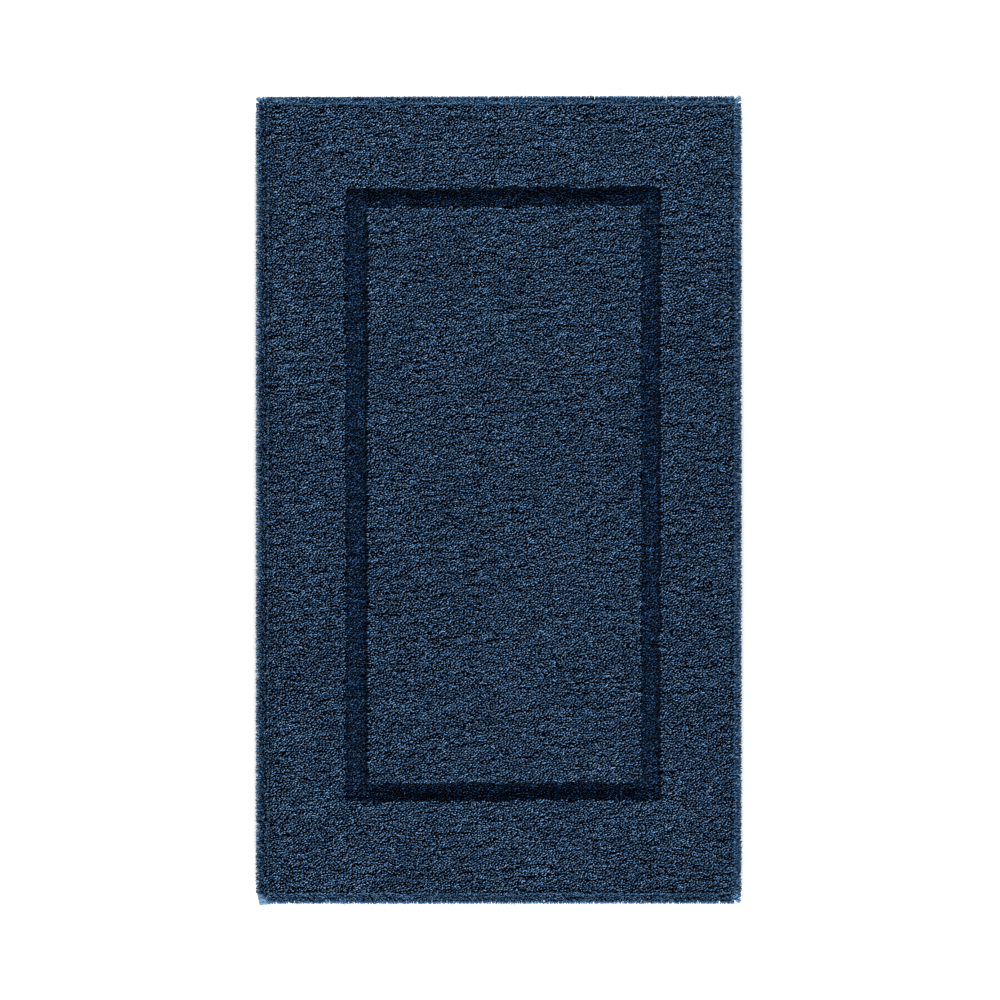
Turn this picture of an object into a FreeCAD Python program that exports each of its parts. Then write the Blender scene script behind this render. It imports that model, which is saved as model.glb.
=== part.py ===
"""Tufted cotton bath mat: base cloth, high cut pile, a sheared rectangular channel, back and hems.

Row frame: X across the mat, Y along its length, Z up. The origin is the middle of the underside.
Millimetres throughout.
"""
import FreeCAD, Part
import os

# ---- Driving dimensions -------------------------------------------------------------------------

# Outline of the pile seen from above: a 24 by 40 inch mat.
mat_width = 610.0
mat_length = 1016.0
mat_corner_radius = 6.0

# High-pile border, measured on each of its four sides.
border_left = 112.5
border_right = 100.0
border_top = 114.5
border_bottom = 129.5

# Sheared channel between the border and the centre panel.
channel_left = 29.0
channel_right = 25.0
channel_top = 24.5
channel_bottom = 23.5

# Heights of the pile above the base cloth.
high_pile = 15.0
channel_pile = 6.0

# The tuft ends round over at the outline and, more tightly, at the rims of the channel.
outline_round = 8.0
rim_round = 3.0
panel_corner_radius = 4.0

# The pile spreads past the folded edge of the cloth by this much.
pile_overhang = 3.0

# Base cloth, and the hem that turns it under.
cloth_thickness = 1.0
hem_width = 16.0

# Loops of tufting yarn under the base cloth, one row per needle.
needle_gauge = 5.6
backstitch_width = 2.2
backstitch_height = 0.6

# Latex: a skin that covers the back-stitches, and a film that fills up to the hem's underside.
latex_skin = 0.2
latex_to_hem_gap = 1.0

# Hem seam, sunk into the underside of the hem.
seam_from_hem_edge = 3.5
thread_width = 0.8
thread_depth = 0.5

# Blank care label caught under the right-hand hem.
label_width = 30.0
label_drop = 40.0
label_thickness = 0.4
label_tuck = 6.0
label_from_bottom = 150.0

# ---- Levels and lines worked out from them --------------------------------------------------------

hem_top_level = cloth_thickness
cloth_bottom_level = hem_top_level + latex_skin + backstitch_height
cloth_top_level = cloth_bottom_level + cloth_thickness
high_pile_level = cloth_top_level + high_pile
channel_pile_level = cloth_top_level + channel_pile

# Half sizes of the pile outline, of the hem's folded edge and of the flat cloth inside the fold.
outline_x = mat_width / 2
outline_y = mat_length / 2
folded_x = outline_x - pile_overhang
folded_y = outline_y - pile_overhang
fold_radius = cloth_top_level / 2
cloth_x = folded_x - fold_radius
cloth_y = folded_y - fold_radius
hem_inner_x = folded_x - hem_width
hem_inner_y = folded_y - hem_width

# Channel walls: outer is the border's edge, inner is the centre panel's edge.
channel_outer_west = -outline_x + border_left
channel_outer_east = outline_x - border_right
channel_outer_south = -outline_y + border_bottom
channel_outer_north = outline_y - border_top
channel_inner_west = channel_outer_west + channel_left
channel_inner_east = channel_outer_east - channel_right
channel_inner_south = channel_outer_south + channel_bottom
channel_inner_north = channel_outer_north - channel_top

# Tools that cut a piece free run past it by this much.
past = 10.0


# ---- Helpers --------------------------------------------------------------------------------------

def block(x_low, x_high, y_low, y_high, z_low, z_high):
    """Box between two corners."""
    corner = FreeCAD.Vector(x_low, y_low, z_low)
    return Part.makeBox(x_high - x_low, y_high - y_low, z_high - z_low, corner)


def prism(points, direction):
    """Closed flat outline through the points, pushed along the direction."""
    outline = Part.makePolygon(points + [points[0]])
    return Part.Face(outline).extrude(direction)


def is_upright(edge):
    """True for an edge that runs along Z."""
    ends = edge.Vertexes
    along = ends[-1].Point.sub(ends[0].Point)
    return along.Length > 0 and abs(along.z) > 0.99 * along.Length


def lies_at(edge, level):
    """True for an edge whose whole length is at one height."""
    box = edge.BoundBox
    return abs(box.ZMin - level) < 1e-6 and abs(box.ZMax - level) < 1e-6


def rounded_block(x_low, x_high, y_low, y_high, z_low, z_high, corner_radius, top_round):
    """Box with rounded upright corners and a rounded rim along the top."""
    body = block(x_low, x_high, y_low, y_high, z_low, z_high)
    body = body.makeFillet(corner_radius, [edge for edge in body.Edges if is_upright(edge)])
    rim = [edge for edge in body.Edges if lies_at(edge, z_high)]
    return body.makeFillet(min(top_round, 0.9 * (z_high - z_low)), rim)


def save(name, shape):
    """One STEP file for one node."""
    shape = shape.removeSplitter()
    shape.exportStep("parts/" + name + ".step")
    print(name, len(shape.Solids), "solid(s)", round(shape.Volume), "mm3", shape.isValid())


# ---- Base cloth -----------------------------------------------------------------------------------

def base_cloth():
    """Woven cloth that the tufts are punched through, flat as far as its folded edges."""
    return block(-cloth_x, cloth_x, -cloth_y, cloth_y, cloth_bottom_level, cloth_top_level)


# ---- Pile -----------------------------------------------------------------------------------------

def border_piles():
    """High pile round the mat, parted at the channel's outer lines into four straight runs."""
    slab = rounded_block(-outline_x, outline_x, -outline_y, outline_y,
                         cloth_top_level, high_pile_level, mat_corner_radius, outline_round)
    well = block(channel_outer_west, channel_outer_east, channel_outer_south, channel_outer_north,
                 cloth_top_level - past, high_pile_level + past)
    ring = slab.cut(well)
    rim = [edge for edge in ring.Edges if lies_at(edge, high_pile_level) and edge_is_inside(edge)]
    ring = ring.makeChamfer(rim_round, rim)
    regions = {
        "left": (-outline_x - past, channel_outer_west, -outline_y - past, outline_y + past),
        "right": (channel_outer_east, outline_x + past, -outline_y - past, outline_y + past),
        "top": (channel_outer_west, channel_outer_east, channel_outer_north, outline_y + past),
        "bottom": (channel_outer_west, channel_outer_east, -outline_y - past, channel_outer_south),
    }
    runs = {}
    for side, (x_low, x_high, y_low, y_high) in regions.items():
        region = block(x_low, x_high, y_low, y_high, 0.0, high_pile_level + past)
        runs[side] = ring.common(region)
    return runs


def edge_is_inside(edge):
    """True for a top edge of the well, as against one of the slab's own outline."""
    middle = edge.BoundBox.Center
    in_width = channel_outer_west - 1e-6 <= middle.x <= channel_outer_east + 1e-6
    in_length = channel_outer_south - 1e-6 <= middle.y <= channel_outer_north + 1e-6
    return in_width and in_length


def channel_piles():
    """Low sheared pile on the channel's floor: two long runs and two short runs between them."""
    runs = {
        "left": (channel_outer_west, channel_inner_west, channel_outer_south, channel_outer_north),
        "right": (channel_inner_east, channel_outer_east, channel_outer_south, channel_outer_north),
        "top": (channel_inner_west, channel_inner_east, channel_inner_north, channel_outer_north),
        "bottom": (channel_inner_west, channel_inner_east, channel_outer_south, channel_inner_south),
    }
    return {side: block(*ends, cloth_top_level, channel_pile_level) for side, ends in runs.items()}


def centre_pile():
    """High pile of the centre panel. Its foot fills the corners that its rounded sides leave."""
    panel = rounded_block(channel_inner_west, channel_inner_east, channel_inner_south, channel_inner_north,
                          cloth_top_level, high_pile_level, panel_corner_radius, rim_round)
    foot = block(channel_inner_west, channel_inner_east, channel_inner_south, channel_inner_north,
                 cloth_top_level, channel_pile_level)
    return panel.fuse(foot)


# ---- Back -----------------------------------------------------------------------------------------

def row_centres():
    """Middles of the needle rows, evenly spaced about the mat's centre line."""
    count = int((2 * cloth_x - backstitch_width) / needle_gauge) + 1
    first = -needle_gauge * (count - 1) / 2
    return [first + needle_gauge * row for row in range(count)]


def backstitch_rows():
    """Flat ribs of yarn under the cloth, one for each needle row, from end to end."""
    low = hem_top_level + latex_skin
    half = backstitch_width / 2
    return Part.makeCompound([
        block(middle - half, middle + half, -cloth_y, cloth_y, low, cloth_bottom_level)
        for middle in row_centres()
    ])


def latex_coating():
    """Skin over the rows that fills the spaces between them, and the film inside the hems."""
    low = hem_top_level + latex_skin
    half = backstitch_width / 2
    section = [FreeCAD.Vector(-cloth_x, -cloth_y, hem_top_level),
               FreeCAD.Vector(-cloth_x, -cloth_y, cloth_bottom_level)]
    for middle in row_centres():
        section.append(FreeCAD.Vector(middle - half, -cloth_y, cloth_bottom_level))
        section.append(FreeCAD.Vector(middle - half, -cloth_y, low))
        section.append(FreeCAD.Vector(middle + half, -cloth_y, low))
        section.append(FreeCAD.Vector(middle + half, -cloth_y, cloth_bottom_level))
    section.append(FreeCAD.Vector(cloth_x, -cloth_y, cloth_bottom_level))
    section.append(FreeCAD.Vector(cloth_x, -cloth_y, hem_top_level))
    comb = prism(section, FreeCAD.Vector(0, 2 * cloth_y, 0))
    film_x = hem_inner_x - latex_to_hem_gap
    film_y = hem_inner_y - latex_to_hem_gap
    film = block(-film_x, film_x, -film_y, film_y, 0.0, hem_top_level)
    return comb.fuse(film).cut(care_label())


# ---- Hems -----------------------------------------------------------------------------------------

def along_side(side, strip_inner, strip_outer, z_low, z_high):
    """Mitred bar that follows one side of the mat, between two distances inside the folded edge."""
    x_out = folded_x - strip_outer
    y_out = folded_y - strip_outer
    x_in = folded_x - strip_inner
    y_in = folded_y - strip_inner
    corners = {
        "left": [(-x_out, -y_out), (-x_out, y_out), (-x_in, y_in), (-x_in, -y_in)],
        "right": [(x_out, -y_out), (x_in, -y_in), (x_in, y_in), (x_out, y_out)],
        "top": [(-x_out, y_out), (x_out, y_out), (x_in, y_in), (-x_in, y_in)],
        "bottom": [(-x_out, -y_out), (-x_in, -y_in), (x_in, -y_in), (x_out, -y_out)],
    }
    points = [FreeCAD.Vector(x, y, z_low) for x, y in corners[side]]
    return prism(points, FreeCAD.Vector(0, 0, z_high - z_low))


def fold_bead(side):
    """Half-round fold of the cloth along one side, as thick as the hem, the back and the cloth."""
    half_length = outline_y if side in ("left", "right") else outline_x
    if side in ("left", "right"):
        middle = cloth_x if side == "right" else -cloth_x
        foot = FreeCAD.Vector(middle, -half_length, fold_radius)
        direction = FreeCAD.Vector(0, 1, 0)
    else:
        middle = cloth_y if side == "top" else -cloth_y
        foot = FreeCAD.Vector(-half_length, middle, fold_radius)
        direction = FreeCAD.Vector(1, 0, 0)
    rod = Part.makeCylinder(fold_radius, 2 * half_length, foot, direction)
    return rod.common(along_side(side, fold_radius, 0.0, 0.0, cloth_top_level))


def seam_thread(side):
    """Seam along one hem, flush with its underside."""
    outer = hem_width - seam_from_hem_edge
    return along_side(side, outer + thread_width, outer, 0.0, thread_depth)


def hem(side):
    """Cloth turned under along one side: the round fold and the flat strip under the back."""
    strip = along_side(side, hem_width, fold_radius, 0.0, hem_top_level)
    return fold_bead(side).fuse(strip).cut(seam_thread(side)).cut(care_label())


def care_label():
    """Blank tape: tucked over the right-hand hem, down past its edge, then flat under the latex."""
    y_low = -outline_y + label_from_bottom
    tucked = hem_inner_x + label_tuck
    drop_outer = hem_inner_x
    drop_inner = drop_outer - label_thickness
    flat_end = drop_inner - label_drop
    top = hem_top_level
    points = [(tucked, top), (tucked, top - label_thickness), (drop_outer, top - label_thickness),
              (drop_outer, 0.0), (flat_end, 0.0), (flat_end, label_thickness),
              (drop_inner, label_thickness), (drop_inner, top)]
    section = [FreeCAD.Vector(x, y_low, z) for x, z in points]
    return prism(section, FreeCAD.Vector(0, label_width, 0))


# ---- Build ----------------------------------------------------------------------------------------

os.makedirs("parts", exist_ok=True)

save("base_cloth", base_cloth())
for side, run in border_piles().items():
    save("border_pile_" + side, run)
for side, run in channel_piles().items():
    save("channel_pile_" + side, run)
save("centre_pile", centre_pile())
save("backstitch_rows", backstitch_rows())
save("latex_coating", latex_coating())
for side in ("left", "right", "top", "bottom"):
    save("hem_" + side, hem(side))
    save("hem_seam_" + side, seam_thread(side))
save("care_label", care_label())
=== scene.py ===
"""Tufted cotton bath mat: real yarn tufts on a base cloth, with its latexed back, hems, seams and label."""
import bpy
import math
import numpy as np
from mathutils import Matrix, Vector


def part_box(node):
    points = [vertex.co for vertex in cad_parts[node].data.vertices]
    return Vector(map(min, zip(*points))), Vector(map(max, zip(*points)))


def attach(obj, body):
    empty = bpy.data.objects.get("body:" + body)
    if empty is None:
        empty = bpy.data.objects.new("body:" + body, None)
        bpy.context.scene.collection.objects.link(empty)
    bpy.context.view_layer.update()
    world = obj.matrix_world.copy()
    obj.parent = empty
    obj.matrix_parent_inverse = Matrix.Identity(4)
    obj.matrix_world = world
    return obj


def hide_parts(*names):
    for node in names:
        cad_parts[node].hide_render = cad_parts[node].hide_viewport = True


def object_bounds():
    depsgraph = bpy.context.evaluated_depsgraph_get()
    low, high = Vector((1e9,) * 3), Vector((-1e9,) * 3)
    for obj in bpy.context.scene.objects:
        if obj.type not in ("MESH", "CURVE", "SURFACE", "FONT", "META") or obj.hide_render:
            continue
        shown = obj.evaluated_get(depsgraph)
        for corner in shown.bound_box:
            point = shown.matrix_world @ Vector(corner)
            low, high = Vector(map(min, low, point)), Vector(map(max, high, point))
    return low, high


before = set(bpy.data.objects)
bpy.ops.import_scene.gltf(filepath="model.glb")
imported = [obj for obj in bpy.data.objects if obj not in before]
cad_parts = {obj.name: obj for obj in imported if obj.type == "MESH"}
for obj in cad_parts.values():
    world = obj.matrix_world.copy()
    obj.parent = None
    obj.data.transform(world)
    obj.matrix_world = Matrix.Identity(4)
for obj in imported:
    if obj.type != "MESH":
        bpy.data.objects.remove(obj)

CAD_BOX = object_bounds()

# ---- Sizes, in metres ------------------------------------------------------------------------------

NEEDLE_GAUGE = 0.0056       # between needle rows, across the mat
STITCH_PITCH = 0.0034       # between stitches, along a row
RIB_WIDTH = 0.0022          # of one row of back-stitches under the cloth
YARN_RADIUS = 0.00057       # of one yarn end
YARN_SIDES = 4              # flats round a yarn end
YARN_STEPS = np.array([0.0, 0.40, 0.64, 0.84, 1.0])      # where a yarn end's rings are, root to tip
YARN_TAPER = np.array([0.80, 0.96, 1.06, 1.08, 0.74])     # its width at those rings
TUFTS_PER_PIECE = 5400      # yarn ends in one mesh, at most
SIDES = ("left", "right", "top", "bottom")
HEM_GAP = 0.001             # between the latex film and the hems

# Kinds of yarn end: leaning less, leaning more, underneath those two, and extra ends at the outline.
NEAR, FAR, UNDER, EDGE = 0, 1, 2, 3

# Where the roots stand.
ROOT_SCATTER_X, ROOT_SCATTER_Y = 0.00085, 0.00030
UNDER_OFFSET = 0.0022       # of the ends underneath, across from their needle row
OUTER_ROW = 0.0030          # of the last row of tufts, past the last needle row
EDGE_PITCH = 0.0013         # between the extra ends that close the outline
EDGE_PITCH_ENDS = 0.7       # share of that pitch at the mat's two short sides
EDGE_SCATTER = 0.0005       # of those ends about their lines
EDGE_LINES = (0.0, 0.0012, 0.0026, 0.0044, 0.0064, 0.0)     # their lines, in from the cloth's edge; two on it
WALL_WOBBLE, WALL_WAVE = 0.0005, 0.06       # how far the channel's walls stray from straight

# How the ends lean.
HIGH_NAP = (0.0042, 0.0016)     # how far the high tufts' ends lean from their roots, on average
LOW_NAP = (0.0034, 0.0013)      # the same in the channel
NEAR_SHARE, FAR_SHARE = 0.68, 1.34      # how far the two upper ends of a stitch lean, of the nap
TIP_SCATTER = 0.0017        # of the tips about their places, before they push each other apart
TIP_ROOM, TIP_STRETCH = 0.0034, 1.25    # room a tip takes across its length, and more along it
SPREAD_ROUNDS, SPREAD_STEP = 12, 0.16      # how often and how far they push
STREAK_SHIFT, STREAK_RISE = 0.0006, 0.00045      # size of the faint ridges across the mat
STREAK_PITCH, STREAK_LENGTH = 0.0096, 4.0       # their spacing, and how many times longer they are
SWIRL_WAVE, SWIRL = 0.035, 0.10             # slow turning of the ends' headings over the mat
HEADING_SCATTER, CURL = 0.20, 0.50          # of single ends: at the outline, and round their own stems
RING_JITTER = 0.00018       # of an end's rings
SKEW, SKEW_REACH = 0.0015, 0.15     # the mat lies a little askew: its cross lines rise to the right

# How high and how thick the ends are, of the pile's height and YARN_RADIUS.
HEIGHT_MEAN, HEIGHT_SCATTER = 0.985, 0.055
HEIGHT_LEAST, HEIGHT_MOST = 0.82, 1.12
UNDER_HEIGHT, UNDER_WIDTH = 0.84, 1.12      # of the ends underneath
WIDTH_SCATTER = 0.11
SWELL_WAVE, SWELL = 0.09, 0.00035           # slow rise and fall of the pile's surface
DROOP_LOSS = 0.15           # how much lower a drooping end stands

# The outline.
HELD_LOW, HELD_HIGH = 0.0009, 0.0012        # the limits that hold the ends in, inside the fringe
HELD_SPILL = 0.12           # share of an end's reach past its limit that stays
FRINGE_WEST, FRINGE_EAST = 0.0017, 0.0027       # how far the ends may stand past the outline
FRINGE_SOUTH, FRINGE_NORTH = 0.0029, 0.0019
OUT_REACH = 0.0060          # the most that a tuft leans out over the edge
DROOP_START, DROOP_BAND = 0.0030, 0.0085        # where in from the outline the tufts lean over the edge
EDGE_FALL, FALL_BAND = 0.0036, 0.026        # how much lower the pile is at the outline, and how far in
SHORTEST_EDGE, LONGEST_EDGE = 0.35, 0.95    # heights of the extra ends at the outline, of the pile's
EDGE_GROWTH = 0.016         # how far in from the outline the extra ends are as tall as the pile
CORNER_RADIUS = 0.0060      # of the mat's corners

# Painted light and shade on the ends.
SIDE_PAINTED_LIGHT = (0.95, 0.56, 0.46, 0.12)       # painted light on the sides of the ends beside the outline: west, east, south, north
PAINTED_LIGHT_BAND = 0.013           # how far in from the outline that painted light reaches
FIRST_FULL_ROW = 0.0128     # how far in the first tufts stand that don't lean out
ROW_PAINTED_SHADE, ROW_BAND = 0.20, 0.0024        # painted shade on those, and over what width
UNDER_PAINTED_SHADE = 0.40        # painted shade on the ends underneath
CHANNEL_PAINTED_SHADE = (0.30, 0.50, 0.66)          # painted shade, a dark bluish tint multiplied onto the sheared pile beside the high pile

# The corner of cloth that lies open.
FLAP_SPAN, FLAP_RISE = 0.019, 0.017         # corner without pile, along the mat's two sides
FLAP_CORNERS = ((0.0, 0.0150), (0.0035, -0.0034), (0.0180, -0.0022), (0.0115, 0.0085))  # from the corner
FLAP_PUFF, FLAP_THICK = 0.0016, 0.0007

# The stage.
LIGHT_HEIGHT, LIGHT_AWAY = 1.12, 2.4     # of the two lights, above the floor and from the mat's middle
LIGHT_POWER = 165.0         # watts, each
LIGHT_WIDTH, LIGHT_DEPTH = 2.6, 0.9
FLOOR_RADIUS, FLOOR_SIDES = 1.5, 96        # the floor is a disc; past it the sky is white
FLOOR_DROP = 0.0002         # of the floor under the mat
HORIZON = (0.085, 0.15)     # heights in the sky over which its white band fades out
SKY_LIGHT = 0.12            # the rest of the sky's light
LENS, SENSOR = 135.0, 36.0  # of the camera, in millimetres
FRAMED = 1.2577             # width of the picture at the mat
CAMERA_X = 0.0019


def span(node, axis):
    """Lowest and highest value of a node's box along one axis."""
    low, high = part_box(node)
    return float(low[axis]), float(high[axis])


MAT_LOW, MAT_HIGH = [list(map(float, corner)) for corner in CAD_BOX]
CLOTH_TOP = span("base_cloth", 2)[1]
HIGH_TOP = span("centre_pile", 2)[1]
LOW_TOP = span("channel_pile_left", 2)[1]
OUTER_WEST, INNER_WEST = span("channel_pile_left", 0)
INNER_EAST, OUTER_EAST = span("channel_pile_right", 0)
OUTER_SOUTH, INNER_SOUTH = span("channel_pile_bottom", 1)
INNER_NORTH, OUTER_NORTH = span("channel_pile_top", 1)
FOLD_X, FOLD_Y = span("hem_right", 0)[1], span("hem_top", 1)[1]
HEM_WIDTH = FOLD_X - span("hem_right", 0)[0]
ROWS_LOW, ROWS_HIGH = span("backstitch_rows", 0)
FIRST_ROW = ROWS_LOW + RIB_WIDTH / 2
ROW_COUNT = int(round((ROWS_HIGH - ROWS_LOW - RIB_WIDTH) / NEEDLE_GAUGE)) + 1


# ---- Smooth random fields --------------------------------------------------------------------------

def smooth_field(seed, wave, amount, terms=14):
    """A gentle random function of place: a few waves of about one length in random directions."""
    draw = np.random.default_rng(seed)
    heading = draw.uniform(0, 2 * math.pi, terms)
    length = wave * draw.uniform(0.6, 1.6, terms)
    phase = draw.uniform(0, 2 * math.pi, terms)
    kx = 2 * math.pi / length * np.cos(heading)
    ky = 2 * math.pi / length * np.sin(heading)

    def value(x, y):
        waves = np.sin(np.multiply.outer(x, kx) + np.multiply.outer(y, ky) + phase)
        return amount * waves.sum(-1) * math.sqrt(2 / terms)

    return value


# ---- Tufts -----------------------------------------------------------------------------------------

def in_channel(x, y):
    """Whether a place is over the sheared channel."""
    inside_outer = (x > OUTER_WEST) & (x < OUTER_EAST) & (y > OUTER_SOUTH) & (y < OUTER_NORTH)
    inside_inner = (x > INNER_WEST) & (x < INNER_EAST) & (y > INNER_SOUTH) & (y < INNER_NORTH)
    return inside_outer & ~inside_inner


def skew(x):
    """How far the pile's cross lines lie from square, from side to side."""
    return SKEW * np.tanh(x / SKEW_REACH)


def spread_out(x, y):
    """Tips pushed apart from their neighbours until they lie evenly, though not in line."""
    near = [(row, stitch, end) for row in (-1, 0, 1) for stitch in (-2, -1, 0, 1, 2) for end in (0, 1)]
    near.remove((0, 0, 0))
    for _ in range(SPREAD_ROUNDS):
        push_x, push_y = np.zeros(x.shape), np.zeros(y.shape)
        for shift in near:
            gap_x = (x - np.roll(x, shift, (0, 1, 2))) / TIP_STRETCH
            gap_y = y - np.roll(y, shift, (0, 1, 2))
            far = np.hypot(gap_x, gap_y) + 1e-9
            push = np.clip(TIP_ROOM - far, 0, None) / far
            push_x += push * gap_x
            push_y += push * gap_y
        x, y = x + SPREAD_STEP * push_x, y + SPREAD_STEP * push_y
    return x, y


def lay_out():
    """Roots of every yarn end, in needle rows, with how high each stands and where it leans."""
    draw = np.random.default_rng(11)
    needles = np.arange(ROW_COUNT) * NEEDLE_GAUGE + FIRST_ROW
    rows = np.concatenate([[needles[0] - OUTER_ROW], needles, [needles[-1] + OUTER_ROW]])
    south, north = span("base_cloth", 1)
    south, north = south + YARN_RADIUS, north - YARN_RADIUS
    stitches = np.linspace(south, north, int(round((north - south) / STITCH_PITCH)) + 1)
    x, y, kind = np.meshgrid(rows, stitches, np.array([NEAR, FAR, UNDER]), indexing="ij")
    x = x + draw.normal(0, ROOT_SCATTER_X, x.shape) + np.where(kind == UNDER, UNDER_OFFSET, 0.0)
    y = y + draw.normal(0, ROOT_SCATTER_Y, y.shape) + np.where(kind == NEAR, 0.0, STITCH_PITCH / 2)
    shift_x, shift_y = draw.normal(0, TIP_SCATTER, (2, *x.shape))
    lead = np.where(kind == NEAR, NEAR_SHARE, FAR_SHARE)
    top = slice(NEAR, FAR + 1)
    tips_x = (x + lead * HIGH_NAP[0] + shift_x)[:, :, top]
    tips_y = (y + lead * HIGH_NAP[1] + shift_y)[:, :, top]
    even_x, even_y = spread_out(tips_x, tips_y)
    shift_x[:, :, top] += even_x - tips_x
    shift_y[:, :, top] += even_y - tips_y
    lead = np.where(kind == UNDER, 1.0, lead)
    x, y, kind, lead, shift_x, shift_y = [values.ravel() for values in (x, y, kind, lead, shift_x, shift_y)]

    # Extra ends stand along the cloth's edge, so that the outline is as full as the field.
    west, east = span("base_cloth", 0)
    west, east = west + YARN_RADIUS, east - YARN_RADIUS
    level_x = np.arange(west, east, EDGE_PITCH_ENDS * EDGE_PITCH)
    level_y = np.arange(south, north, EDGE_PITCH)
    edge_x, edge_y = [], []
    for inset in EDGE_LINES:
        west_line, east_line = np.full(len(level_y), west + inset), np.full(len(level_y), east - inset)
        south_line, north_line = np.full(len(level_x), south + inset), np.full(len(level_x), north - inset)
        edge_x += [level_x, level_x, west_line, east_line]
        edge_y += [south_line, north_line, level_y, level_y]
    edge_x, edge_y = np.concatenate(edge_x), np.concatenate(edge_y)
    x = np.concatenate([x, edge_x + draw.normal(0, EDGE_SCATTER, len(edge_x))])
    y = np.concatenate([y, edge_y + draw.normal(0, EDGE_SCATTER, len(edge_x))])
    kind = np.concatenate([kind, np.full(len(edge_x), EDGE)])
    lead = np.concatenate([lead, np.ones(len(edge_x))])
    shift_x = np.concatenate([shift_x, np.zeros(len(edge_x))])
    shift_y = np.concatenate([shift_y, np.zeros(len(edge_x))])
    x, y = np.clip(x, west, east), np.clip(y, south, north)

    # A tuft is high or low by where its end lies, so the channel's walls stand on the CAD lines.
    stray_x = x + shift_x + smooth_field(25, WALL_WAVE, WALL_WOBBLE)(x, y)
    stray_y = y + shift_y + smooth_field(26, WALL_WAVE, WALL_WOBBLE)(x, y) - skew(x)
    low_end = in_channel(stray_x + lead * LOW_NAP[0], stray_y + lead * LOW_NAP[1])
    high_end = ~in_channel(stray_x + lead * HIGH_NAP[0], stray_y + lead * HIGH_NAP[1])
    kept = low_end | high_end
    low = low_end & ~high_end
    kept &= (x - MAT_LOW[0]) / FLAP_SPAN + (y - MAT_LOW[1]) / FLAP_RISE > 1
    return [values[kept] for values in (x, y, low, kind, lead, shift_x, shift_y)]


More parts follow.
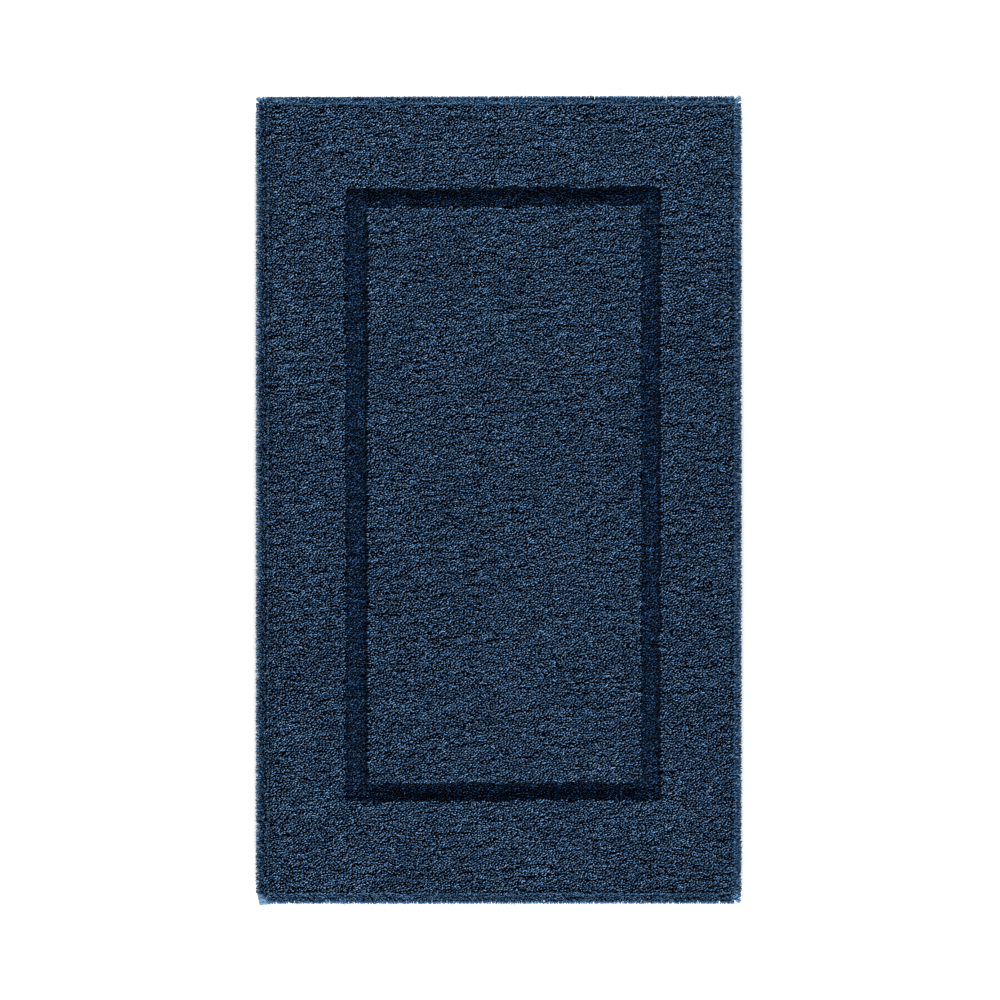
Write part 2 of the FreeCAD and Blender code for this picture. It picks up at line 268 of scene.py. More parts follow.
def shape_tufts(x, y, low, kind, lead, shift_x, shift_y, seed):
    """Ring centres, radii, random lightness with painted shade, and painted root shade of every yarn end: up
    from its root, then over with the nap.
    """
    draw = np.random.default_rng(seed)
    count = len(x)
    steps = YARN_STEPS

    # Tufts along the outline have no neighbours to lean on: they lean out and droop over the edge.
    west, east = x - MAT_LOW[0], MAT_HIGH[0] - x
    south, north = y - MAT_LOW[1], MAT_HIGH[1] - y
    lean = [np.clip(1 - (gap - DROOP_START) / DROOP_BAND, 0, 1) for gap in (east, west, north, south)]
    push_x, push_y = lean[0] - lean[1], lean[2] - lean[3]
    droop = np.clip(1.25 * np.maximum(np.abs(push_x), np.abs(push_y)), 0, 1)
    droop = np.clip(droop + draw.normal(0, 0.10, count) * (droop > 0), 0, 1)

    nap = np.where(low[:, None], np.array(LOW_NAP), np.array(HIGH_NAP))
    room_x = np.where(push_x > 0, east + FRINGE_EAST, west + FRINGE_WEST)
    room_y = np.where(push_y > 0, north + FRINGE_NORTH, south + FRINGE_SOUTH)
    room_x, room_y = np.minimum(room_x, OUT_REACH), np.minimum(room_y, OUT_REACH)
    out_x = room_x * np.sign(push_x) * (np.abs(push_x) > 0.5 * np.abs(push_y))
    out_y = room_y * np.sign(push_y) * (np.abs(push_y) > 0.5 * np.abs(push_x))
    streak = smooth_field(27, STREAK_PITCH, 1.0, 24)(x / STREAK_LENGTH, y)
    lean_x = (nap[:, 0] * lead + shift_x) * (1 - droop) + out_x * droop
    lean_y = (nap[:, 1] * lead + shift_y + STREAK_SHIFT * streak) * (1 - droop) + out_y * droop
    reach = np.hypot(lean_x, lean_y)
    wander = np.where(kind == UNDER, 2.0, 1.0)
    heading = np.arctan2(lean_y, lean_x) + smooth_field(21, SWIRL_WAVE, SWIRL)(x, y)
    rough = np.where(push_x > 0.5, 1.0, 0.4)
    heading = heading + draw.normal(0, HEADING_SCATTER, count) * rough * np.where(kind == EDGE, 1.0, droop)
    curl = draw.normal(0, CURL, count) * wander
    reach = reach * (1 + np.clip(draw.normal(0, 0.12, count), -0.3, 0.3) * droop * rough)

    tall = np.where(low, LOW_TOP, HIGH_TOP) - CLOTH_TOP
    tall = tall * np.clip(draw.normal(HEIGHT_MEAN, HEIGHT_SCATTER, count), HEIGHT_LEAST, HEIGHT_MOST)
    inset = np.minimum(np.minimum(east, west), np.minimum(north, south))
    edge_tall = np.clip(draw.uniform(SHORTEST_EDGE, LONGEST_EDGE, count) + inset / EDGE_GROWTH, 0, 1)
    tall = tall * np.where(kind == UNDER, UNDER_HEIGHT, 1.0) * np.where(kind == EDGE, edge_tall, 1.0)
    tall = tall + smooth_field(23, SWELL_WAVE, SWELL)(x, y) + STREAK_RISE * streak
    tall = tall - EDGE_FALL * np.clip(1 - inset / FALL_BAND, 0, 1) ** 2
    tall = tall * (1 - DROOP_LOSS * droop)

    # Rings go up from the root and over along the heading, and a drooping end comes down again.

    turn = heading[:, None] + curl[:, None] * (steps[None, :] - 1.0)
    out = reach[:, None] * (0.25 * steps + 0.75 * steps ** 2.2)[None, :]
    cx = x[:, None] + out * np.cos(turn)
    cy = y[:, None] + out * np.sin(turn)
    cx = cx + draw.normal(0, RING_JITTER, cx.shape) * steps
    cy = cy + draw.normal(0, RING_JITTER, cy.shape) * steps
    cx = held_in(cx, MAT_LOW[0] - FRINGE_WEST, MAT_HIGH[0] + FRINGE_EAST, 0.0009, draw)
    cy = held_in(cy - skew(x)[:, None], MAT_LOW[1] - FRINGE_SOUTH, MAT_HIGH[1] + FRINGE_NORTH, 0.0003, draw)
    cx, cy = round_off(cx, cy)
    cy = cy + skew(x)[:, None]
    rise = np.sin(0.5 * math.pi * steps) ** 0.9
    over = 0.95 * np.sin(2.45 * steps)
    cz = CLOTH_TOP + tall[:, None] * ((1 - droop)[:, None] * rise + droop[:, None] * over)
    thick = YARN_RADIUS * np.where(kind == UNDER, UNDER_WIDTH, 1.0)
    thick = thick * np.clip(draw.normal(1, WIDTH_SCATTER, count), 0.75, 1.3)
    radius = thick[:, None] * YARN_TAPER[None, :]

    # Ends beside the outline and at the corners get painted light: it lifts the painted shade on their lower
    # parts, as they show their sides to the lamps.
    gaps = (west, east, south, north)
    shown = [share * np.clip(1 - gap / PAINTED_LIGHT_BAND, 0, 1) for gap, share in zip(gaps, SIDE_PAINTED_LIGHT)]
    corner = np.hypot(MAT_HIGH[0] - np.abs(x), MAT_HIGH[1] - np.abs(y))
    painted_edge_light = np.maximum(np.max(shown, axis=0), np.clip(1.5 - corner / PAINTED_LIGHT_BAND, 0, 1))
    # Each end is lighter or darker at random; the channel's ends are also darker by painted shade.
    lightness_and_painted_shade = draw.normal(0.5, 0.15, count) * np.where(low, 1.3, 1.0) - np.where(low, 0.25, 0.0)
    # Painted shade on the ends underneath, less where the painted edge light lifts it.
    lightness_and_painted_shade = lightness_and_painted_shade - np.where(kind == UNDER, UNDER_PAINTED_SHADE, 0.0) * (1 - painted_edge_light)
    # Painted shade on the first tufts that don't lean out.
    lightness_and_painted_shade = lightness_and_painted_shade - ROW_PAINTED_SHADE * np.exp(-((inset - FIRST_FULL_ROW) / ROW_BAND) ** 2)
    lightness_and_painted_shade = np.clip(lightness_and_painted_shade, 0, 1)
    # Painted shade: each end darker towards its root, lifted near the outline by the painted edge light.
    shade = steps[None, :] + painted_edge_light[:, None] * (1 - steps[None, :])
    return np.stack([cx, cy, cz], -1), radius, steps, lightness_and_painted_shade, shade


def round_off(cx, cy):
    """Places past the mat's rounded corners, pulled back onto the corner's arc."""
    past_x = np.maximum(np.abs(cx) - (MAT_HIGH[0] - CORNER_RADIUS), 0)
    past_y = np.maximum(np.abs(cy) - (MAT_HIGH[1] - CORNER_RADIUS), 0)
    far = np.hypot(past_x, past_y)
    limit = CORNER_RADIUS + FRINGE_WEST
    pull = np.where((past_x > 0) & (past_y > 0) & (far > limit), limit / np.maximum(far, limit), 1.0)
    return cx - np.sign(cx) * past_x * (1 - pull), cy - np.sign(cy) * past_y * (1 - pull)


def held_in(values, low, high, loose, draw):
    """Coordinates pulled back inside two limits, each yarn end by its own small allowance."""
    low = low + HELD_LOW - draw.gamma(1.2, 0.0002, len(values))[:, None]
    high = high - HELD_HIGH + draw.gamma(1.2, loose, len(values))[:, None]
    values = np.where(values < low, low + HELD_SPILL * (values - low), values)
    return np.where(values > high, high + HELD_SPILL * (values - high), values)


def tube_mesh(name, centres, radius, steps, lightness_and_painted_shade, shade, low):
    """One closed mesh of many yarn ends, each a tapered tube of a few rings."""
    count, rings, _ = centres.shape
    sides = YARN_SIDES
    along = np.gradient(centres, axis=1)
    along /= np.linalg.norm(along, axis=2, keepdims=True) + 1e-12
    spin = np.random.default_rng(5).uniform(0, 2 * math.pi, count)
    seed_axis = np.stack([np.cos(spin), np.sin(spin), np.zeros(count)], -1)[:, None, :]
    across = np.cross(along, np.broadcast_to(seed_axis, along.shape))
    across /= np.linalg.norm(across, axis=2, keepdims=True) + 1e-12
    third = np.cross(along, across)
    angle = 2 * math.pi * np.arange(sides) / sides
    ring = (across[:, :, None, :] * np.cos(angle)[None, None, :, None]
            + third[:, :, None, :] * np.sin(angle)[None, None, :, None])
    verts = centres[:, :, None, :] + ring * radius[:, :, None, None]
    verts = verts.reshape(-1, 3)

    base = (np.arange(count) * rings * sides)[:, None, None]
    level = (np.arange(rings - 1) * sides)[None, :, None]
    here = np.arange(sides)[None, None, :]
    after = (np.arange(sides) + 1)[None, None, :] % sides
    walls = np.stack([base + level + here, base + level + after,
                      base + level + sides + after, base + level + sides + here], -1).reshape(-1, 4)
    foot = (np.arange(count) * rings * sides)[:, None] + np.arange(sides)[::-1][None, :]
    tip = (np.arange(count) * rings * sides + (rings - 1) * sides)[:, None] + np.arange(sides)[None, :]
    corners = np.concatenate([walls.ravel(), foot.ravel(), tip.ravel()])
    totals = np.concatenate([np.full(len(walls), 4), np.full(2 * count, sides)])

    mesh = bpy.data.meshes.new(name)
    mesh.vertices.add(len(verts))
    mesh.vertices.foreach_set("co", verts.astype(np.float32).ravel())
    mesh.loops.add(len(corners))
    mesh.loops.foreach_set("vertex_index", corners.astype(np.int32))
    mesh.polygons.add(len(totals))
    mesh.polygons.foreach_set("loop_start", (np.cumsum(totals) - totals).astype(np.int32))
    mesh.polygons.foreach_set("loop_total", totals.astype(np.int32))
    mesh.polygons.foreach_set("use_smooth", np.ones(len(totals), bool))

    # Atlas for baking: one small cell for each yarn end.
    cells = int(math.ceil(math.sqrt(count)))
    column, row = np.arange(count) % cells, np.arange(count) // cells
    inset, wide, high = 0.06, 0.88, 0.76
    u_here = np.arange(sides) / sides
    u_after = (np.arange(sides) + 1) / sides
    v_low, v_high = steps[:-1], steps[1:]
    cell_u, cell_v = column[:, None, None], row[:, None, None]
    shape = (count, rings - 1, sides)
    corner = []
    for u, v in ((u_here, v_low), (u_after, v_low), (u_after, v_high), (u_here, v_high)):
        at_u = np.broadcast_to((cell_u + inset + wide * u[None, None, :]) / cells, shape)
        at_v = np.broadcast_to((cell_v + inset + high * v[None, :, None]) / cells, shape)
        corner.append(np.stack([at_u, at_v], -1))
    wall_uv = np.stack(corner, -2).reshape(-1, 2)
    disc = np.stack([np.cos(angle), np.sin(angle)], -1)
    caps = []
    for middle in (0.25, 0.75):
        at = np.stack([column[:, None] + middle + 0.16 * disc[None, :, 0],
                       row[:, None] + 0.905 + 0.06 * disc[None, :, 1]], -1) / cells
        caps.append(at.reshape(-1, 2))
    uv = np.concatenate([wall_uv] + caps)
    layer = mesh.uv_layers.new(name="OFBake", do_init=False)
    layer.uv.foreach_set("vector", uv.astype(np.float32).ravel())

    # Attributes for the material: painted root shade, random lightness with painted shade, and whether an end
    # is in the channel.
    per_vert = rings * sides
    for label, values in (("painted_root_shade", np.repeat(shade.ravel(), sides)),
                          ("yarn_lightness_and_painted_shade", np.repeat(lightness_and_painted_shade, per_vert)),
                          ("yarn_low", np.repeat(low.astype(float), per_vert))):
        attribute = mesh.attributes.new(label, "FLOAT", "POINT")
        attribute.data.foreach_set("value", values.astype(np.float32))
    mesh.update()
    mesh.validate()
    return mesh


def place(name, mesh, material, node_slot, *nodes):
    """Puts a mesh in the scene as a piece that rides on the mat, and hides the CAD nodes it is built in place
    of.
    """
    piece = bpy.data.objects.new(name, mesh)
    bpy.context.scene.collection.objects.link(piece)
    if material is not None:
        mesh.materials.append(material)
    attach(piece, "root")
    if nodes:
        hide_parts(*nodes)
    return piece


# ---- Materials -------------------------------------------------------------------------------------

class Nodes:
    """Short forms for building one node material."""

    def __init__(self, name):
        self.material = bpy.data.materials.new(name)
        self.material.use_nodes = True
        self.tree = self.material.node_tree
        self.shader = self.tree.nodes["Principled BSDF"]

    def add(self, kind, inputs=None, **settings):
        node = self.tree.nodes.new(kind)
        for key, value in settings.items():
            setattr(node, key, value)
        for key, value in (inputs or {}).items():
            self.feed(node.inputs[key], value)
        return node

    def feed(self, socket, value):
        if isinstance(value, bpy.types.NodeSocket):
            self.tree.links.new(value, socket)
        else:
            socket.default_value = value

    def maths(self, operation, first, second=0.0, third=0.0):
        node = self.add("ShaderNodeMath", operation=operation)
        for socket, value in zip(node.inputs, (first, second, third)):
            self.feed(socket, value)
        return node.outputs[0]

    def attribute(self, name):
        return self.add("ShaderNodeAttribute", attribute_name=name).outputs["Fac"]

    def ramp(self, value, stops):
        node = self.add("ShaderNodeValToRGB", {"Fac": value})
        points = node.color_ramp.elements
        points[0].position, points[0].color = stops[0][0], (*stops[0][1], 1)
        points[1].position, points[1].color = stops[-1][0], (*stops[-1][1], 1)
        for position, colour in stops[1:-1]:
            points.new(position).color = (*colour, 1)
        return node.outputs["Color"]

    def noise(self, scale, detail=2.0, rough=0.5, vector=None):
        inputs = {"Scale": scale, "Detail": detail, "Roughness": rough}
        if vector is not None:
            inputs["Vector"] = vector
        return self.add("ShaderNodeTexNoise", inputs).outputs["Fac"]

    def place(self):
        return self.add("ShaderNodeTexCoord").outputs["Object"]


def yarn_material():
    """Matt cotton yarn, with painted shade at its root, on its sides and underside and in the channel, and
    its top painted lighter; no two ends alike.
    """
    n = Nodes("cotton_pile")
    where = n.place()
    root_shade = n.attribute("painted_root_shade")
    lightness_and_painted_shade = n.attribute("yarn_lightness_and_painted_shade")
    low = n.attribute("yarn_low")
    fibres = n.noise(2600.0, 2.0, 0.6, where)
    clouds = n.noise(16.0, 2.0, 0.5, where)
    # Painted shade: darker towards each end's root.
    level = n.maths("MULTIPLY_ADD", root_shade, 1.35, -0.72)
    level = n.maths("MULTIPLY_ADD", lightness_and_painted_shade, 0.48, level)
    level = n.maths("MULTIPLY_ADD", n.maths("SUBTRACT", fibres, 0.5), 0.20, level)
    level = n.maths("MULTIPLY_ADD", n.maths("SUBTRACT", clouds, 0.5), 0.10, level)
    # Painted light and shade: the side of every end that faces up is lighter, its sides and underside darker.
    normal = n.add("ShaderNodeNewGeometry").outputs["Normal"]
    painted_top_light = n.add("ShaderNodeSeparateXYZ", {"Vector": normal}).outputs["Z"]
    level = n.maths("MULTIPLY_ADD", n.maths("SUBTRACT", painted_top_light, 0.6), 0.26, level)
    colour = n.ramp(level, [
        (0.00, (0.0002, 0.0016, 0.0054)),
        (0.48, (0.0014, 0.0072, 0.0205)),
        (0.76, (0.0300, 0.0820, 0.1660)),
        (1.00, (0.2000, 0.3800, 0.6400)),
    ])
    # Painted shade on the channel's ends: their colour is multiplied by a dark bluish tint.
    sheared = n.add("ShaderNodeMix", data_type="RGBA", blend_type="MULTIPLY")
    n.feed(sheared.inputs[0], low)
    n.feed(sheared.inputs[6], colour)
    sheared.inputs[7].default_value = (*CHANNEL_PAINTED_SHADE, 1)
    n.feed(n.shader.inputs["Base Color"], sheared.outputs[2])
    n.shader.inputs["Roughness"].default_value = 0.95
    n.shader.inputs["Specular IOR Level"].default_value = 0.06
    n.shader.inputs["Sheen Weight"].default_value = 0.05
    n.shader.inputs["Sheen Roughness"].default_value = 0.5
    n.shader.inputs["Sheen Tint"].default_value = (0.45, 0.70, 1.0, 1)
    bump = n.add("ShaderNodeBump", {"Strength": 0.5, "Distance": 0.0004, "Height": fibres})
    n.feed(n.shader.inputs["Normal"], bump.outputs["Normal"])
    return n.material


def woven(n, where, thread):
    """Height of a plain weave with this thread spacing, from place alone."""
    parts = n.add("ShaderNodeSeparateXYZ", {"Vector": where}).outputs
    over = n.maths("SINE", n.maths("MULTIPLY", parts["X"], 2 * math.pi / thread))
    under = n.maths("SINE", n.maths("MULTIPLY", parts["Y"], 2 * math.pi / thread))
    return n.maths("MULTIPLY_ADD", n.maths("MULTIPLY", over, under), 0.5, 0.5)


def cloth_material(name, dark, light, thread=0.0011):
    """Plain-woven cotton in two tones of one colour, with slubs and a little fading."""
    n = Nodes(name)
    where = n.place()
    weave = woven(n, where, thread)
    slub = n.noise(420.0, 3.0, 0.6, where)
    fade = n.noise(22.0, 2.0, 0.5, where)
    level = n.maths("MULTIPLY_ADD", weave, 0.45, n.maths("MULTIPLY", slub, 0.4))
    level = n.maths("MULTIPLY_ADD", n.maths("SUBTRACT", fade, 0.5), 0.35, level)
    n.feed(n.shader.inputs["Base Color"], n.ramp(level, [(0.1, dark), (0.8, light)]))
    n.shader.inputs["Roughness"].default_value = 0.92
    n.shader.inputs["Specular IOR Level"].default_value = 0.15
    n.shader.inputs["Sheen Weight"].default_value = 0.10
    height = n.maths("MULTIPLY_ADD", slub, 0.5, weave)
    bump = n.add("ShaderNodeBump", {"Strength": 0.8, "Distance": 0.0003, "Height": height})
    n.feed(n.shader.inputs["Normal"], bump.outputs["Normal"])
    return n.material


def latex_material():
    """Dried latex over dyed yarn: a milky film, thinner and bluer on the stitch ribs, with pinholes."""
    n = Nodes("latex_film")
    where = n.place()
    parts = n.add("ShaderNodeSeparateXYZ", {"Vector": where}).outputs
    across = n.maths("MULTIPLY", n.maths("SUBTRACT", parts["X"], FIRST_ROW), 2 * math.pi / NEEDLE_GAUGE)
    rib = n.maths("MULTIPLY_ADD", n.maths("COSINE", across), 0.5, 0.5)
    along = n.maths("MULTIPLY", parts["Y"], 2 * math.pi / STITCH_PITCH)
    stitch = n.maths("MULTIPLY", rib, n.maths("MULTIPLY_ADD", n.maths("COSINE", along), 0.5, 0.5))
    smear = n.noise(45.0, 4.0, 0.6, where)
    grain = n.noise(900.0, 3.0, 0.6, where)
    level = n.maths("MULTIPLY_ADD", stitch, -0.30, n.maths("MULTIPLY_ADD", smear, 0.9, 0.12))
    level = n.maths("MULTIPLY_ADD", n.maths("SUBTRACT", grain, 0.5), 0.5, level)
    n.feed(n.shader.inputs["Base Color"], n.ramp(level, [
        (0.05, (0.060, 0.105, 0.165)), (0.45, (0.230, 0.285, 0.345)), (0.85, (0.470, 0.510, 0.540))]))
    shine = n.maths("MULTIPLY_ADD", grain, 0.35, 0.35)
    n.feed(n.shader.inputs["Roughness"], shine)
    height = n.maths("MULTIPLY_ADD", grain, 0.35, n.maths("MULTIPLY", stitch, 1.3))
    bump = n.add("ShaderNodeBump", {"Strength": 0.9, "Distance": 0.0005, "Height": height})
    n.feed(n.shader.inputs["Normal"], bump.outputs["Normal"])
    return n.material


def thread_material(name, dark, light, twist=0.0006):
    """Twisted thread: fine slanting bands with a soft shine."""
    n = Nodes(name)
    where = n.place()
    parts = n.add("ShaderNodeSeparateXYZ", {"Vector": where}).outputs
    slant = n.maths("ADD", n.maths("ADD", parts["X"], parts["Y"]), parts["Z"])
    wave = n.maths("SINE", n.maths("MULTIPLY", slant, 2 * math.pi / twist))
    ply = n.maths("MULTIPLY_ADD", wave, 0.5, 0.5)
    level = n.maths("MULTIPLY_ADD", n.noise(700.0, 2.0, 0.5, where), 0.5, n.maths("MULTIPLY", ply, 0.5))
    n.feed(n.shader.inputs["Base Color"], n.ramp(level, [(0.15, dark), (0.85, light)]))
    n.shader.inputs["Roughness"].default_value = 0.6
    bump = n.add("ShaderNodeBump", {"Strength": 0.6, "Distance": 0.0001, "Height": ply})
    n.feed(n.shader.inputs["Normal"], bump.outputs["Normal"])
    return n.material


# ---- Back pieces -----------------------------------------------------------------------------------

def mesh_of(name, verts, faces):
    """Smooth-shaded mesh from points and four-sided faces."""
    verts, faces = np.asarray(verts, np.float32), np.asarray(faces, np.int32)
    mesh = bpy.data.meshes.new(name)
    mesh.vertices.add(len(verts))
    mesh.vertices.foreach_set("co", verts.ravel())
    mesh.loops.add(faces.size)
    mesh.loops.foreach_set("vertex_index", faces.ravel())
    mesh.polygons.add(len(faces))
    mesh.polygons.foreach_set("loop_start", np.arange(0, faces.size, 4, dtype=np.int32))
    mesh.polygons.foreach_set("loop_total", np.full(len(faces), 4, np.int32))
    mesh.polygons.foreach_set("use_smooth", np.ones(len(faces), bool))
    mesh.update()
    mesh.validate()
    return mesh


def closed_sheet(name, xs, ys, under, over):
    """Closed slab over a grid: under(x, y) and over(x, y) give the heights of its two faces."""
    columns, rows = len(xs), len(ys)
    x, y = np.meshgrid(xs, ys, indexing="ij")
    low = np.stack([x, y, under(x, y)], -1).reshape(-1, 3)
    high = np.stack([x, y, over(x, y)], -1).reshape(-1, 3)
    index = np.arange(columns * rows).reshape(columns, rows)
    a, b = index[:-1, :-1].ravel(), index[1:, :-1].ravel()
    c, d = index[1:, 1:].ravel(), index[:-1, 1:].ravel()
    top = len(low)
    faces = [np.stack([d, c, b, a], -1), np.stack([a, b, c, d], -1) + top]
    rim = np.concatenate([index[:, 0], index[-1, 1:], index[-2::-1, -1], index[0, -2:0:-1]])
    after = np.roll(rim, -1)
    faces.append(np.stack([rim, after, after + top, rim + top], -1))
    return mesh_of(name, np.concatenate([low, high]), np.concatenate(faces))


def flat_at(height, field=None):
    """A height function: level, or level plus a gentle field."""
    def value(x, y):
        return np.full(x.shape, height) + (field(x, y) if field else 0.0)
    return value


def make_base_cloth():
    """The woven cloth, seen between the tufts and along the edges."""
    low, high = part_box("base_cloth")
    xs = np.linspace(low[0], high[0], 61)
    ys = np.linspace(low[1], high[1], 101)
    mesh = closed_sheet("base_cloth_weave", xs, ys, flat_at(low[2]), flat_at(high[2]))
    material = cloth_material("base_cloth", (0.003, 0.010, 0.025), (0.012, 0.034, 0.070))
    return place("base_cloth_weave", mesh, material, "base_cloth", "base_cloth")


def make_latex():
    """The latexed back, with a rib over every row of back-stitches."""
    low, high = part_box("latex_coating")
    film_x, film_y = FOLD_X - HEM_WIDTH - HEM_GAP, FOLD_Y - HEM_WIDTH - HEM_GAP
    skin, rib_rise = 0.00012, 0.00042
    feather, feather_width = 0.0006, 0.004
    xs = np.linspace(-film_x, film_x, 5 * ROW_COUNT + 1)
    ys = np.linspace(-film_y, film_y, 61)
    puddle = smooth_field(31, 0.05, 0.00006)

    def under(x, y):
        rib = 0.5 + 0.5 * np.cos(2 * math.pi * (x - FIRST_ROW) / NEEDLE_GAUGE)
        edge = np.minimum(film_x - np.abs(x), film_y - np.abs(y))
        thin = feather * np.clip(1 - edge / feather_width, 0, 1) ** 2
        return low[2] + skin + rib_rise * (1 - rib) + puddle(x, y) + thin

    mesh = closed_sheet("latex_film", xs, ys, under, flat_at(high[2] - 0.0002))
    return place("latex_film", mesh, latex_material(), "latex", "latex_coating")


def side_frame(side):
    """Unit vectors along and out of one side of the mat, and its half length and half width."""
    if side == "left":
        return (0, 1), (-1, 0), FOLD_Y, FOLD_X
    if side == "right":
        return (0, -1), (1, 0), FOLD_Y, FOLD_X
    if side == "top":
        return (1, 0), (0, 1), FOLD_X, FOLD_Y
    return (-1, 0), (0, -1), FOLD_X, FOLD_Y


def hem_section():
    """Cross-section of a hem: (distance in from the fold, height), round the fold and along the strip."""
    radius = CLOTH_TOP / 2
    lip = CLOTH_TOP - span("base_cloth", 2)[0]
    turn = np.linspace(math.pi / 2, -math.pi / 2, 11)
    outer = [(radius - radius * math.cos(a), radius + radius * math.sin(a)) for a in turn]
    inner_turn = np.linspace(-math.pi / 2, math.pi / 2, 7)
    inside = radius - lip
    inner = [(radius - inside * math.cos(a), radius + inside * math.sin(a)) for a in inner_turn]
    run = np.linspace(radius, HEM_WIDTH, 8)[1:]
    strip_under = [(d, 0.0) for d in run[:-1]] + [(HEM_WIDTH - 0.0003, 0.0001), (HEM_WIDTH, 0.0005)]
    strip_over = [(d, lip) for d in run[:-1][::-1]]
    top_in = [(HEM_WIDTH - 0.0003, lip - 0.0001)]
    return outer + strip_under + top_in + strip_over + inner


def make_hem(side, material):
    """One turned-under edge of the cloth, mitred at its ends, a little wavy along its fold."""
    along, out, half, depth = side_frame(side)
    section = hem_section()
    stations = np.linspace(-1, 1, int(2 * half / 0.006))
    wave = smooth_field(40 + SIDES.index(side), 0.16, 0.00028)
    verts = []
    for at in stations:
        for inset, height in section:
            run = at * (half - inset)
            away = depth - inset
            x = along[0] * run + out[0] * away
            y = along[1] * run + out[1] * away
            shift = float(wave(np.float64(x), np.float64(y))) * max(0.0, 1 - inset / HEM_WIDTH)
            x += out[0] * shift
            y += out[1] * shift
            verts.append((x, y, height))
    size, count = len(section), len(stations)
    faces = []
    for station in range(count - 1):
        for k in range(size):
            after = (k + 1) % size
            faces.append((station * size + k, station * size + after,
                          (station + 1) * size + after, (station + 1) * size + k))
    mesh = bpy.data.meshes.new(f"hem_{side}_cloth")
    ends = [tuple(range(size))[::-1], tuple((count - 1) * size + k for k in range(size))]
    mesh.from_pydata(verts, [], faces + ends)
    mesh.polygons.foreach_set("use_smooth", np.ones(len(mesh.polygons), bool))
    mesh.update()
    return place(f"hem_{side}_cloth", mesh, material, "base_cloth", f"hem_{side}")


def make_flap(material):
    """The corner of the hem that lies open past the pile: a small folded lip, puffed in its middle."""
    share = np.linspace(0, 1, 25)
    flap = closed_sheet("hem_corner_cloth", share, share, flat_at(0.0), flat_at(1.0))
    places = np.empty(3 * len(flap.vertices), np.float32)
    flap.vertices.foreach_get("co", places)
    along, across, upper = places.reshape(-1, 3).T
    corners = np.array(FLAP_CORNERS) + np.array(MAT_LOW[:2])
    weights = ((1 - along) * (1 - across), (1 - along) * across, along * across, along * (1 - across))
    flat = sum(weight[:, None] * corner for weight, corner in zip(weights, corners))
    puff = FLAP_PUFF * np.clip(np.sin(math.pi * along) * np.sin(math.pi * across), 0, 1) ** 0.6
    crease = smooth_field(51, 0.006, 0.00022)(flat[:, 0], flat[:, 1])
    height = CLOTH_TOP + 0.0002 + upper * (FLAP_THICK + puff + crease)
    flap.vertices.foreach_set("co", np.column_stack([flat, height]).astype(np.float32).ravel())
    flap.update()
    return place("hem_corner_cloth", flap, material, "base_cloth", "hem_left")


def make_seam(side, material):
    """Row of lock stitches along one hem, each a small bead of thread half sunk into the cloth."""
    along, out, half, depth = side_frame(side)
    low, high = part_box(f"hem_seam_{side}")
    axis = 0 if out[0] else 1
    middle = (abs(low[axis]) + abs(high[axis])) / 2
    reach = max(abs(low[1 - axis]), abs(high[1 - axis])) - 0.002
    stitch, gap, thick = 0.0034, 0.0008, 0.00040
    count = int(2 * reach / (stitch + gap))
    rings = [(-0.5, 0.15), (-0.42, 0.7), (-0.2, 1.0), (0.2, 1.0), (0.42, 0.7), (0.5, 0.15)]
    sides = 6
    verts, faces = [], []
    draw = np.random.default_rng(60 + SIDES.index(side))
    for number in range(count):
        start = -reach + (number + 0.5) * (stitch + gap)
        drift = draw.normal(0, 0.00008)
        first = len(verts)
        for along_share, width in rings:
            run = start + along_share * stitch
            for k in range(sides):
                angle = 2 * math.pi * k / sides
                away = middle + drift + thick * width * math.cos(angle)
                height = 0.00038 + thick * 0.8 * width * math.sin(angle)
                verts.append((along[0] * run + out[0] * away, along[1] * run + out[1] * away, height))
        for ring in range(len(rings) - 1):
            for k in range(sides):
                after = (k + 1) % sides
                faces.append((first + ring * sides + k, first + (ring + 1) * sides + k,
                              first + (ring + 1) * sides + after, first + ring * sides + after))
        last = first + (len(rings) - 1) * sides
        faces.append(tuple(first + k for k in range(sides)))
        faces.append(tuple(last + k for k in range(sides))[::-1])
    mesh = bpy.data.meshes.new(f"hem_{side}_stitches")
    mesh.from_pydata(verts, [], faces)
    mesh.polygons.foreach_set("use_smooth", np.ones(len(mesh.polygons), bool))
    mesh.update()
    return place(f"hem_{side}_stitches", mesh, material, "sewing_thread", f"hem_seam_{side}")


def make_label():
    """Blank tape: it comes out from under the hem, curls once and lies along the back."""
    low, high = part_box("care_label")
    thick = 0.0003
    lip = FOLD_X - HEM_WIDTH
    tucked = [(high[0], high[2] - thick), (lip + 0.0012, high[2] - thick)]
    bend = [(lip - 0.0003, high[2] - 0.00055), (lip - 0.0008, 0.00030), (lip - 0.0022, 0.00006)]
    lying = [(x, 0.00004) for x in np.linspace(lip - 0.006, low[0], 14)]
    points = np.array(tucked + bend + lying)
    run = np.gradient(points, axis=0)
    run /= np.linalg.norm(run, axis=1, keepdims=True)
    normal = np.stack([run[:, 1], -run[:, 0]], -1)
    upper = points + normal * thick
    points[:, 1], upper[:, 1] = np.maximum(points[:, 1], 0.00002), np.maximum(upper[:, 1], 0.00004)
    across = np.linspace(low[1], high[1], 9)
    verts, size = [], len(points)
    for y in across:
        verts += [(x, y, z) for x, z in points] + [(x, y, z) for x, z in upper[::-1]]
    loop, faces = 2 * size, []
    for strip in range(len(across) - 1):
        for k in range(loop):
            after = (k + 1) % loop
            faces.append((strip * loop + k, strip * loop + after,
                          (strip + 1) * loop + after, (strip + 1) * loop + k))
    ends = [tuple(range(loop))[::-1], tuple((len(across) - 1) * loop + k for k in range(loop))]
    mesh = bpy.data.meshes.new("care_label_tape")
    mesh.from_pydata(verts, [], faces + ends)
    mesh.update()
    material = cloth_material("label_tape", (0.52, 0.52, 0.50), (0.80, 0.80, 0.78), 0.0006)
    tape = place("care_label_tape", mesh, material, "care_label", "care_label")
    return tape


# ---- Pile pieces -----------------------------------------------------------------------------------

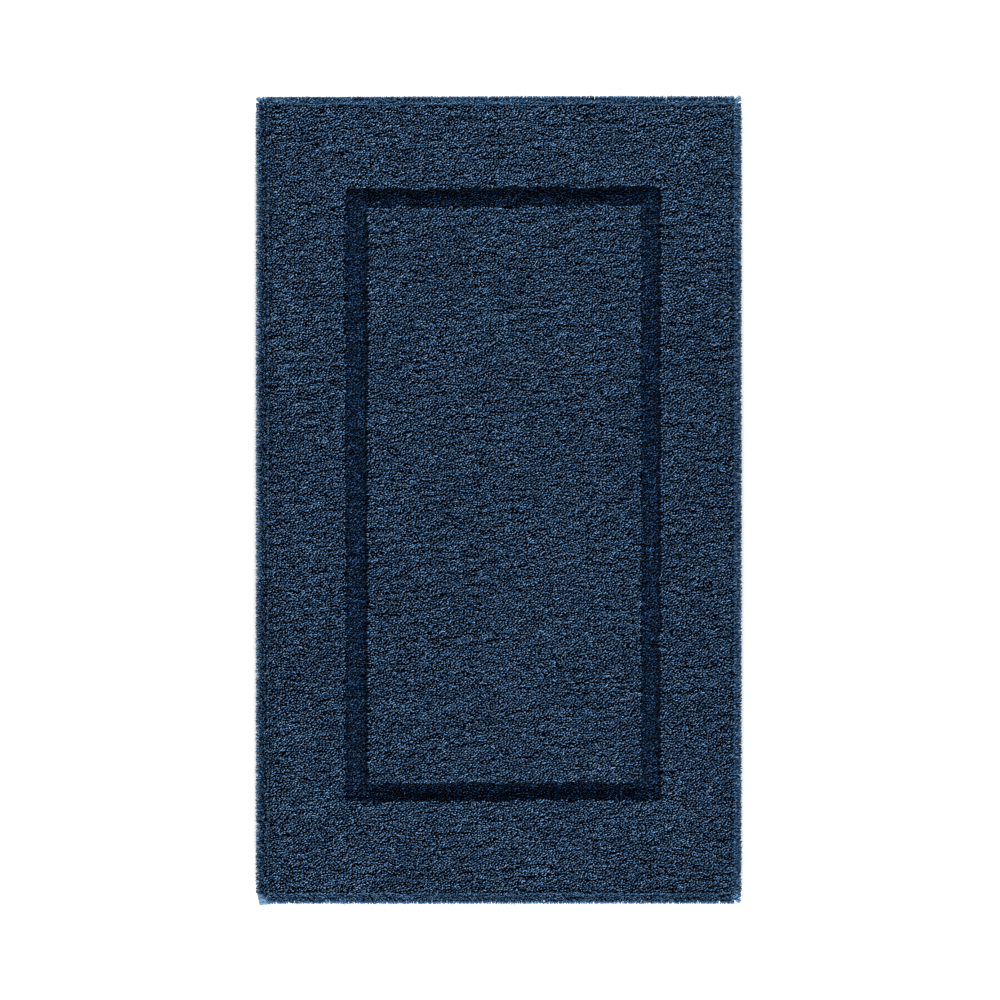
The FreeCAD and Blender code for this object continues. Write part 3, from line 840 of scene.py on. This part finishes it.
def nearest_node(x, y, low):
    """The CAD node that each tuft belongs to."""
    names = np.full(len(x), "border_pile_bottom", dtype="U24")
    tip_x = x + np.where(low, LOW_NAP[0], HIGH_NAP[0])
    tip_y = y + np.where(low, LOW_NAP[1], HIGH_NAP[1]) - skew(x)
    names[tip_y > (OUTER_NORTH + OUTER_SOUTH) / 2] = "border_pile_top"
    centre = (tip_x > INNER_WEST) & (tip_x < INNER_EAST) & (tip_y > INNER_SOUTH) & (tip_y < INNER_NORTH)
    names[centre] = "centre_pile"
    names[tip_x < OUTER_WEST] = "border_pile_left"
    names[tip_x > OUTER_EAST] = "border_pile_right"
    names[low & (tip_y >= INNER_NORTH)] = "channel_pile_top"
    names[low & (tip_y <= INNER_SOUTH)] = "channel_pile_bottom"
    names[low & (tip_x <= INNER_WEST)] = "channel_pile_left"
    names[low & (tip_x >= INNER_EAST)] = "channel_pile_right"
    return names


def make_pile(material):
    """All the tufts, as one piece or several for each CAD pile node."""
    x, y, low, kind, lead, shift_x, shift_y = lay_out()
    centres, radius, steps, lightness_and_painted_shade, shade = shape_tufts(x, y, low, kind, lead, shift_x, shift_y, 12)
    names = nearest_node(x, y, low)
    pieces = []
    for node in sorted(set(names)):
        chosen = np.nonzero(names == node)[0]
        chosen = chosen[np.argsort(y[chosen], kind="stable")]
        parts = int(math.ceil(len(chosen) / TUFTS_PER_PIECE))
        for number, some in enumerate(np.array_split(chosen, parts)):
            name = f"{node}_tufts_{number + 1}"
            mesh = tube_mesh(name, centres[some], radius[some], steps, lightness_and_painted_shade[some], shade[some], low[some])
            finish = "sheared_pile" if node.startswith("channel") else "cut_pile"
            pieces.append(place(name, mesh, material, finish, node))
    return pieces


# ---- Stage -----------------------------------------------------------------------------------------

def make_stage():
    """White floor and horizon, soft light from both ends of the mat and a camera straight above it."""
    scene = bpy.context.scene
    scene.view_settings.view_transform = "Standard"
    floor_mesh = bpy.data.meshes.new("floor")
    turns = [2 * math.pi * k / FLOOR_SIDES for k in range(FLOOR_SIDES)]
    floor_mesh.from_pydata([(FLOOR_RADIUS * math.cos(t), FLOOR_RADIUS * math.sin(t), 0) for t in turns],
                           [], [tuple(range(FLOOR_SIDES))])
    floor = bpy.data.objects.new("floor", floor_mesh)
    floor.location.z = -FLOOR_DROP
    scene.collection.objects.link(floor)
    white = Nodes("floor_white")
    white.shader.inputs["Base Color"].default_value = (0.86, 0.86, 0.86, 1)
    white.shader.inputs["Roughness"].default_value = 0.8
    floor_mesh.materials.append(white.material)

    world = bpy.data.worlds.new("studio")
    world.use_nodes = True
    sky = world.node_tree
    sky.nodes["Background"].inputs["Color"].default_value = (1, 1, 1, 1)
    direction = sky.nodes.new("ShaderNodeTexCoord")
    parts = sky.nodes.new("ShaderNodeSeparateXYZ")
    fade = sky.nodes.new("ShaderNodeMapRange")
    fade.inputs["From Min"].default_value = HORIZON[0]
    fade.inputs["From Max"].default_value = HORIZON[1]
    fade.inputs["To Min"].default_value = 1.0
    fade.inputs["To Max"].default_value = SKY_LIGHT
    sky.links.new(direction.outputs["Generated"], parts.inputs[0])
    sky.links.new(parts.outputs["Z"], fade.inputs["Value"])
    sky.links.new(fade.outputs["Result"], sky.nodes["Background"].inputs["Strength"])
    world.cycles.sampling_method = "NONE"
    scene.world = world

    for name, y in (("light_top", LIGHT_AWAY), ("light_bottom", -LIGHT_AWAY)):
        data = bpy.data.lights.new(name, "AREA")
        data.shape = "RECTANGLE"
        data.size, data.size_y = LIGHT_WIDTH, LIGHT_DEPTH
        data.energy = LIGHT_POWER
        lamp = bpy.data.objects.new(name, data)
        lamp.location = (0, y, LIGHT_HEIGHT)
        lamp.rotation_euler = (-math.atan2(y, LIGHT_HEIGHT), 0, 0)
        scene.collection.objects.link(lamp)

    data = bpy.data.cameras.new("camera")
    data.lens = LENS
    data.sensor_width = SENSOR
    camera = bpy.data.objects.new("camera", data)
    camera.location = (CAMERA_X, 0.0, FRAMED * LENS / SENSOR + HIGH_TOP)
    data.clip_end = 50.0
    scene.collection.objects.link(camera)
    scene.camera = camera


make_stage()
pile = make_pile(yarn_material())
cloth = make_base_cloth()
make_latex()
hem_cloth = cloth_material("hem_cloth", (0.020, 0.048, 0.092), (0.080, 0.150, 0.240))
sewing = thread_material("sewing_thread", (0.030, 0.060, 0.110), (0.090, 0.150, 0.240))
hems = [make_hem(side, hem_cloth) for side in SIDES]
corner_cloth = cloth_material("hem_corner", (0.060, 0.125, 0.230), (0.150, 0.270, 0.430))
hems.append(make_flap(corner_cloth))
seams = [make_seam(side, sewing) for side in SIDES]
make_label()
tufting = thread_material("tufting_yarn", (0.015, 0.035, 0.070), (0.050, 0.100, 0.180), 0.0015)
rows = bpy.data.objects["backstitch_rows"]
rows.data.materials.clear()
rows.data.materials.append(tufting)
